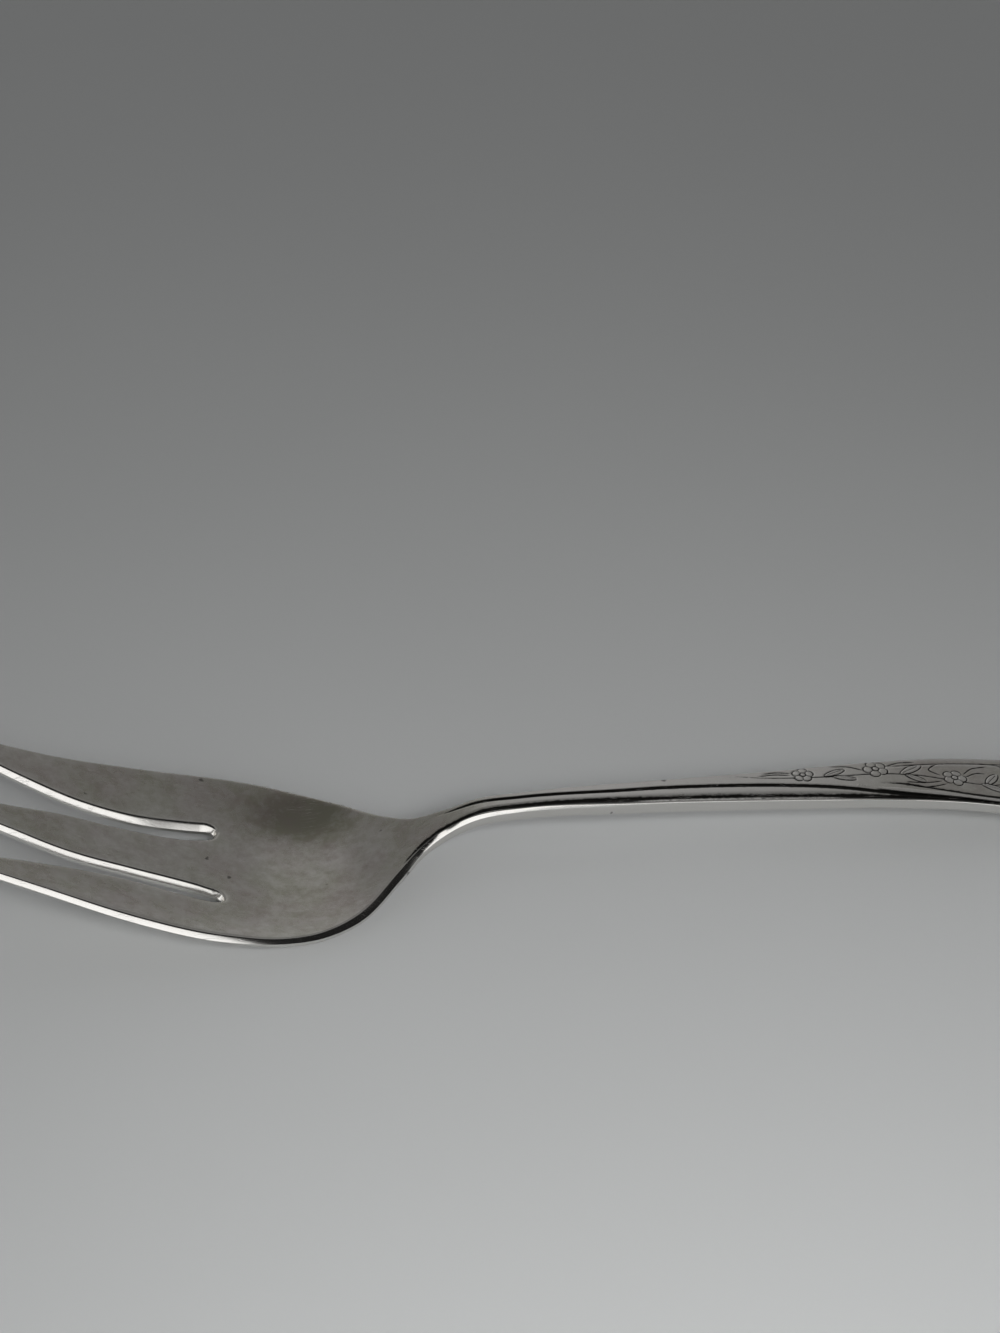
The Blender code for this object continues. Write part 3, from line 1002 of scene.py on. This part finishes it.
def handling_group():
    """Scratches, specks and a fine grain from use and washing."""
    tree, given, put = new_group(
        "handling marks",
        (
            ("Vector", "Vector", None), ("Scratch Amount", "Float", 1.0),
            ("Speck Amount", "Float", 1.0),
        ),
        (("Height", "Float"), ("Scratches", "Float"), ("Specks", "Float")),
    )
    vector = given["Vector"]
    first, second, third = (scratch_mask(tree, vector, *layer) for layer in SCRATCHES)
    scratches = math_node(tree, "MAXIMUM", math_node(tree, "MAXIMUM", first, second), third)
    scratches = product(tree, scratches, given["Scratch Amount"])
    ragged = add_node(
        tree, "ShaderNodeTexNoise",
        {"Vector": vector, "Scale": RAGGED_CELLS, "Detail": RAGGED_DETAIL},
    )
    moved = add_node(
        tree, "ShaderNodeVectorMath",
        {0: ragged.outputs["Color"], 1: (RAGGED_REACH * MM,) * 3, 2: vector},
        operation="MULTIPLY_ADD",
    )
    cells = add_node(
        tree, "ShaderNodeTexVoronoi",
        {"Vector": moved.outputs[0], "Scale": SPECK_CELLS, "Randomness": 1.0},
    )
    chance = add_node(tree, "ShaderNodeSeparateColor", {"Color": cells.outputs["Color"]}).outputs[0]
    size = product(tree, mask_node(tree, chance, *SPECK_SPAN), SPECK_SIZE)
    speck = math_node(tree, "SUBTRACT", size, cells.outputs["Distance"])
    specks = product(tree, mask_node(tree, speck, 0.0, SPECK_EDGE), given["Speck Amount"])
    grain = product(tree, noise_node(tree, vector, *GRAIN), GRAIN_HEIGHT)
    marks = math_node(tree, "MAXIMUM", product(tree, scratches, SCRATCH_HEIGHT), specks)
    tree.links.new(math_node(tree, "SUBTRACT", grain, marks), put["Height"])
    tree.links.new(scratches, put["Scratches"])
    tree.links.new(specks, put["Specks"])
    return tree


def shared_group(name, make):
    """A node group that is built once and used by every finish."""
    return bpy.data.node_groups.get(name) or make()


def silver_material(name, finish, levels):
    """Silver with its own amounts of film, stain, scratches and specks."""
    material = bpy.data.materials.new(name)
    material.use_nodes = True
    tree = material.node_tree
    shader = tree.nodes["Principled BSDF"]
    shader.inputs["Metallic"].default_value = 1.0
    clean, patina_and_shade = (*levels["clean"], 1.0), (*finish.patina_and_shade, 1.0)
    vector = add_node(tree, "ShaderNodeTexCoord").outputs["Object"]
    recess = add_node(tree, "ShaderNodeAttribute", attribute_name="recess").outputs["Fac"]
    wear = add_node(tree, "ShaderNodeAttribute", attribute_name="wear").outputs["Fac"]
    film = add_node(
        tree, "ShaderNodeGroup",
        {
            "Vector": vector, "Recess": recess, "Wear": wear, "Film Amount": levels["film"],
            "Stain Amount": levels["stain"], "Clean": clean, "Film": (*finish.film, 1.0),
            "Warm Film": (*finish.warm_film, 1.0), "Stain": (*finish.stain, 1.0),
            "Patina And Shade": patina_and_shade,
        },
        node_tree=shared_group("tarnish", tarnish_group),
    )
    marks = add_node(
        tree, "ShaderNodeGroup",
        {
            "Vector": vector, "Scratch Amount": levels["scratches"],
            "Speck Amount": levels["specks"],
        },
        node_tree=shared_group("handling marks", handling_group),
    )
    bared = product(tree, marks.outputs["Scratches"], SCRATCH_BARES)
    colour = colour_mix(tree, bared, film.outputs["Colour"], clean)
    darkened = product(tree, marks.outputs["Specks"], SPECK_DARKENS)
    colour = colour_mix(tree, darkened, colour, patina_and_shade)
    tree.links.new(colour, shader.inputs["Base Color"])
    dulled = finish.roughness + finish.dulling
    rough = mask_node(tree, film.outputs["Dullness"], 0.0, 1.0, finish.roughness, dulled)
    tree.links.new(rough, shader.inputs["Roughness"])
    bump = add_node(
        tree, "ShaderNodeBump",
        {
            "Height": marks.outputs["Height"], "Strength": MARK_STRENGTH,
            "Distance": MARK_DEPTH * MM,
        },
    )
    tree.links.new(bump.outputs["Normal"], shader.inputs["Normal"])
    return material


def plate_material(finish):
    """Old silver plate under a full film."""
    levels = {"clean": finish.plate, "film": 1.0, "stain": 0.45, "scratches": 1.0, "specks": 1.0}
    return silver_material("tarnished_plate", finish, levels)


def block_material(finish):
    """Solid silver that the table keeps nearly clean."""
    levels = {"clean": finish.silver, "film": 0.4, "stain": 0.3, "scratches": 1.0, "specks": 0.5}
    return silver_material("worn_silver", finish, levels)


# Camera, fitted to the viewing angle; the picture is taken to be 1000 by 1333.
CAMERA_AT = (-79.498, -367.582, 302.312)
CAMERA_YAW = -9.39757
CAMERA_PITCH = 35.28342
CAMERA_ROLL = 0.99722
FOCAL_PIXELS = 3000.0
PICTURE_HEIGHT = 1333.0
SENSOR = 36.0
CLIP_START = 0.01

# Lamps: azimuth, elevation, distance, size and spread. They are aimed in front of the fork.
KEY_LAMP = (4.0, 47.0, 0.6, 0.3, 40.0)
FILL_LAMP = (-70.0, 40.0, 0.9, 0.5, 180.0)
LAMP_TARGET = (0.0, -260.0, 0.0)

# The floor: its sides, how far it lies under the fork, its sheen, and its faint clouds.
FLOOR_SIDES = 96
FLOOR_DROP = 0.02
FLOOR_ROUGHNESS = 0.75
FLOOR_SPECULAR = 0.25
FLOOR_CLOUD = (9.0, 3.0, (0.2, 0.6, 0.0), 0.55)
FLOOR_CLOUD_SHADE = 0.96

# Zones of the room. Each row: axis of the direction, from, to, value before and value after.
BACK_LIGHT = (
    ("Z", 0.66, 0.84, 1.0, 0.46), ("Z", 0.06, 0.24, 1.4, 1.0), ("X", 0.16, 0.4, 1.0, 0.62),
    ("X", -0.45, -0.05, 0.58, 1.0),
)
BEHIND = (("Y", 0.25, 0.6, 0.0, 1.0),)
FRONT_SHADE = (
    ("Y", -0.3, -0.05, 1.0, 0.0), ("Z", 0.4, 0.5, 0.0, 1.0), ("Z", 0.92, 0.98, 1.0, 0.0),
)
RIGHT_SHADE = (
    ("X", 0.35, 0.6, 0.0, 1.0), ("Y", -0.6, -0.45, 0.0, 1.0), ("Y", -0.2, 0.0, 1.0, 0.0),
    ("Z", 0.22, 0.32, 0.0, 1.0), ("Z", 0.6, 0.75, 1.0, 0.0),
)
WINDOW_HEIGHT = (("Z", 0.42, 0.52, 1.0, 0.0),)
WINDOW_TOWARDS = (-0.6, -0.8, 0.0)
WINDOW_SPREAD = (0.28, 0.48)


def add_camera():
    """The camera at its fitted place and angle."""
    camera = bpy.data.cameras.new("camera")
    camera.sensor_width = SENSOR
    camera.lens = SENSOR * FOCAL_PIXELS / PICTURE_HEIGHT
    camera.clip_start = CLIP_START
    obj = bpy.data.objects.new("camera", camera)
    bpy.context.scene.collection.objects.link(obj)
    turn = (
        Matrix.Rotation(math.radians(CAMERA_YAW), 4, "Z")
        @ Matrix.Rotation(math.radians(90.0 - CAMERA_PITCH), 4, "X")
        @ Matrix.Rotation(math.radians(CAMERA_ROLL), 4, "Z")
    )
    obj.matrix_world = Matrix.Translation(Vector(CAMERA_AT) * MM) @ turn
    bpy.context.scene.camera = obj


def add_lamp(name, azimuth, elevation, distance, size, spread, power):
    """A square soft lamp that reflections don't show; azimuth 0 is in front, towards -Y."""
    lamp = bpy.data.lights.new(name, "AREA")
    lamp.shape = "SQUARE"
    lamp.size = size
    lamp.spread = math.radians(spread)
    lamp.energy = power
    obj = bpy.data.objects.new(name, lamp)
    bpy.context.scene.collection.objects.link(obj)
    a, e = math.radians(azimuth), math.radians(elevation)
    away = Vector((math.sin(a) * math.cos(e), -math.cos(a) * math.cos(e), math.sin(e)))
    at = Vector(LAMP_TARGET) * MM + away * distance
    obj.matrix_world = Matrix.Translation(at) @ away.to_track_quat("Z", "Y").to_matrix().to_4x4()
    obj.visible_camera = False
    obj.visible_glossy = False


def add_floor(stage):
    """A round pale floor."""
    bm = bmesh.new()
    bmesh.ops.create_circle(bm, cap_ends=True, segments=FLOOR_SIDES, radius=stage.floor_radius)
    bmesh.ops.translate(bm, vec=(0.0, 0.0, -FLOOR_DROP * MM), verts=bm.verts)
    floor = new_object("floor", bm)
    material = bpy.data.materials.new("pale_floor")
    material.use_nodes = True
    tree = material.node_tree
    shader = tree.nodes["Principled BSDF"]
    shader.inputs["Roughness"].default_value = FLOOR_ROUGHNESS
    shader.inputs["Specular IOR Level"].default_value = FLOOR_SPECULAR
    vector = add_node(tree, "ShaderNodeTexCoord").outputs["Object"]
    cloud = noise_node(tree, vector, *FLOOR_CLOUD)
    darker = [value * FLOOR_CLOUD_SHADE for value in stage.floor_colour]
    colour = colour_mix(tree, cloud, (*darker, 1.0), (*stage.floor_colour, 1.0))
    tree.links.new(colour, shader.inputs["Base Color"])
    floor.data.materials.append(material)


def zone(tree, towards, masks):
    """Where one zone of the room lies, from the masks of its rows."""
    return product(tree, *(mask_node(tree, towards[axis], *span) for axis, *span in masks))


def add_surroundings(stage):
    """A soft room: grey light from behind, a low window in front and left, and shade above it."""
    world = bpy.data.worlds.new("room")
    bpy.context.scene.world = world
    world.use_nodes = True
    tree = world.node_tree
    direction = add_node(tree, "ShaderNodeTexCoord").outputs["Generated"]
    towards = add_node(tree, "ShaderNodeSeparateXYZ", {0: direction}).outputs
    back = add_node(
        tree, "ShaderNodeVectorMath",
        {0: stage.back_colour, "Scale": zone(tree, towards, BACK_LIGHT)}, operation="SCALE",
    ).outputs[0]
    colour = colour_mix(tree, zone(tree, towards, BEHIND), (*stage.room_colour, 1.0), back)
    front, right = zone(tree, towards, FRONT_SHADE), zone(tree, towards, RIGHT_SHADE)
    shade = math_node(tree, "MAXIMUM", front, right)
    colour = colour_mix(tree, shade, colour, (*stage.shade_colour, 1.0))
    lit = add_node(
        tree, "ShaderNodeVectorMath", {0: direction, 1: WINDOW_TOWARDS}, operation="DOT_PRODUCT"
    ).outputs["Value"]
    spread = mask_node(tree, lit, *WINDOW_SPREAD)
    window = product(tree, spread, zone(tree, towards, WINDOW_HEIGHT))
    colour = colour_mix(tree, window, colour, (*stage.window_colour, 1.0))
    tree.links.new(colour, tree.nodes["Background"].inputs["Color"])


def length_property(name, description, size, smallest=0.0):
    """A length, given in millimetres."""
    return FloatProperty(
        name=name, description=description, default=size * MM, min=smallest * MM, unit="LENGTH",
        precision=6,
    )


def colour_property(name, description, default):
    return FloatVectorProperty(
        name=name, description=description, default=default, size=3, subtype="COLOR", min=0.0,
        max=4.0,
    )


def share_property(name, description, default):
    return FloatProperty(
        name=name, description=description, default=default, min=0.0, max=1.0, subtype="FACTOR"
    )


def power_property(name, description, default):
    return FloatProperty(
        name=name, description=description, default=default, min=0.0, unit="POWER"
    )


class ForkShape(bpy.types.PropertyGroup):
    panel_step: length_property(
        "Panel step", "Spacing of the rows along the stamped handle", 0.15, smallest=0.1
    )
    flute_depth: length_property("Flute depth", "Depth of the two flutes of the handle", 0.24)
    line_width: length_property("Line width", "Width of the stamped lines", 0.24, smallest=0.1)
    line_depth: length_property("Line depth", "Depth of the stamped lines", 0.1)
    petal_height: length_property("Petal height", "How far petals and leaves stand up", 0.08)
    seat_gap: length_property("Seat gap", "Gap round each wear block in the back", 0.12)
    block_rim: length_property("Block rim", "Rounding of the wear blocks' rims", 0.12)


class ForkFinish(bpy.types.PropertyGroup):
    plate: colour_property("Plate", "Clean silver plate", (0.80, 0.785, 0.76))
    silver: colour_property("Silver", "Solid silver of the wear blocks", (0.74, 0.72, 0.68))
    film: colour_property("Film", "Olive tint of the tarnish film", (0.38, 0.37, 0.29))
    warm_film: colour_property("Warm film", "Brown tint of the tarnish film", (0.40, 0.35, 0.315))
    stain: colour_property("Stain", "Brown tarnish stains", (0.24, 0.205, 0.165))
    # This dark colour is real patina and pits, and also paints the flutes' shade and the dark
    # reflection at the back of the bowl.
    patina_and_shade: colour_property("Patina And Shade", "Dark tarnish in recesses and pits", (0.02, 0.019, 0.017))
    roughness: share_property("Roughness", "Roughness of the clean silver", 0.14)
    dulling: share_property("Dulling", "Roughness that a full film adds", 0.16)


class ForkStage(bpy.types.PropertyGroup):
    floor_radius: FloatProperty(
        name="Floor radius", description="Radius of the round floor", default=4.0, min=0.5,
        unit="LENGTH",
    )
    floor_colour: colour_property("Floor", "Colour of the floor", (0.52, 0.53, 0.53))
    back_colour: colour_property("Back", "Light from behind the fork", (0.355, 0.355, 0.355))
    room_colour: colour_property("Room", "Light from overhead and the sides", (0.24, 0.24, 0.24))
    shade_colour: colour_property("Shade", "Light from the dim parts", (0.012, 0.012, 0.012))
    window_colour: colour_property("Window", "Light from the low window", (1.25, 1.25, 1.25))
    key_power: power_property("Key power", "Power of the main lamp", 0.58)
    fill_power: power_property("Fill power", "Power of the side lamp", 0.25)


class FORK_OT_blank(bpy.types.Operator):
    """Make the plated blank with its tines, bowl and stamped handle"""

    bl_idname = "cold_meat_fork.blank"
    bl_label = "Fork Blank"

    def execute(self, context):
        shape = context.scene.fork_shape
        blank = new_object("fork_body", formed_blank(shape))
        cut_seats(blank, shape.seat_gap)
        material = plate_material(context.scene.fork_finish)
        finish_piece(blank, material, "tarnished_plate", "fork_blank")
        return {"FINISHED"}


class FORK_OT_wear_blocks(bpy.types.Operator):
    """Make the two silver wear blocks let into the back"""

    bl_idname = "cold_meat_fork.wear_blocks"
    bl_label = "Wear Blocks"

    def execute(self, context):
        shape = context.scene.fork_shape
        material = block_material(context.scene.fork_finish)
        heel = wear_block("heel_silver_block", HEEL_X, HEEL_BLOCK, shape.block_rim)
        finish_piece(heel, material, "worn_silver", "heel_wear_block")
        handle = wear_block("handle_silver_block", REST_X, HANDLE_BLOCK, shape.block_rim)
        finish_piece(handle, material, "worn_silver", "handle_wear_block")
        return {"FINISHED"}


class FORK_OT_stage(bpy.types.Operator):
    """Make the floor, the soft light and the camera"""

    bl_idname = "cold_meat_fork.stage"
    bl_label = "Stage"

    def execute(self, context):
        stage = context.scene.fork_stage
        add_floor(stage)
        add_surroundings(stage)
        add_lamp("key_lamp", *KEY_LAMP, stage.key_power)
        add_lamp("fill_lamp", *FILL_LAMP, stage.fill_power)
        add_camera()
        context.scene.view_settings.view_transform = "Standard"
        return {"FINISHED"}


class FORK_PT_panel(bpy.types.Panel):
    bl_idname = "FORK_PT_panel"
    bl_label = "Cold Meat Fork"
    bl_space_type = "VIEW_3D"
    bl_region_type = "UI"
    bl_category = "Fork"

    def draw(self, context):
        layout, scene = self.layout, context.scene
        for operator in (FORK_OT_blank, FORK_OT_wear_blocks, FORK_OT_stage):
            layout.operator(operator.bl_idname)
        for group in (scene.fork_shape, scene.fork_finish, scene.fork_stage):
            box = layout.box()
            for name in group.bl_rna.properties.keys():
                if name not in {"rna_type", "name"}:
                    box.prop(group, name)


CLASSES = (
    ForkShape, ForkFinish, ForkStage, FORK_OT_blank, FORK_OT_wear_blocks, FORK_OT_stage,
    FORK_PT_panel,
)


def register():
    for cls in CLASSES:
        bpy.utils.register_class(cls)
    bpy.types.Scene.fork_shape = PointerProperty(type=ForkShape)
    bpy.types.Scene.fork_finish = PointerProperty(type=ForkFinish)
    bpy.types.Scene.fork_stage = PointerProperty(type=ForkStage)


def unregister():
    del bpy.types.Scene.fork_stage
    del bpy.types.Scene.fork_finish
    del bpy.types.Scene.fork_shape
    for cls in reversed(CLASSES):
        bpy.utils.unregister_class(cls)


def main():
    register()
    bpy.ops.cold_meat_fork.stage()
    bpy.ops.cold_meat_fork.blank()
    bpy.ops.cold_meat_fork.wear_blocks()


if __name__ == "__main__":
    main()
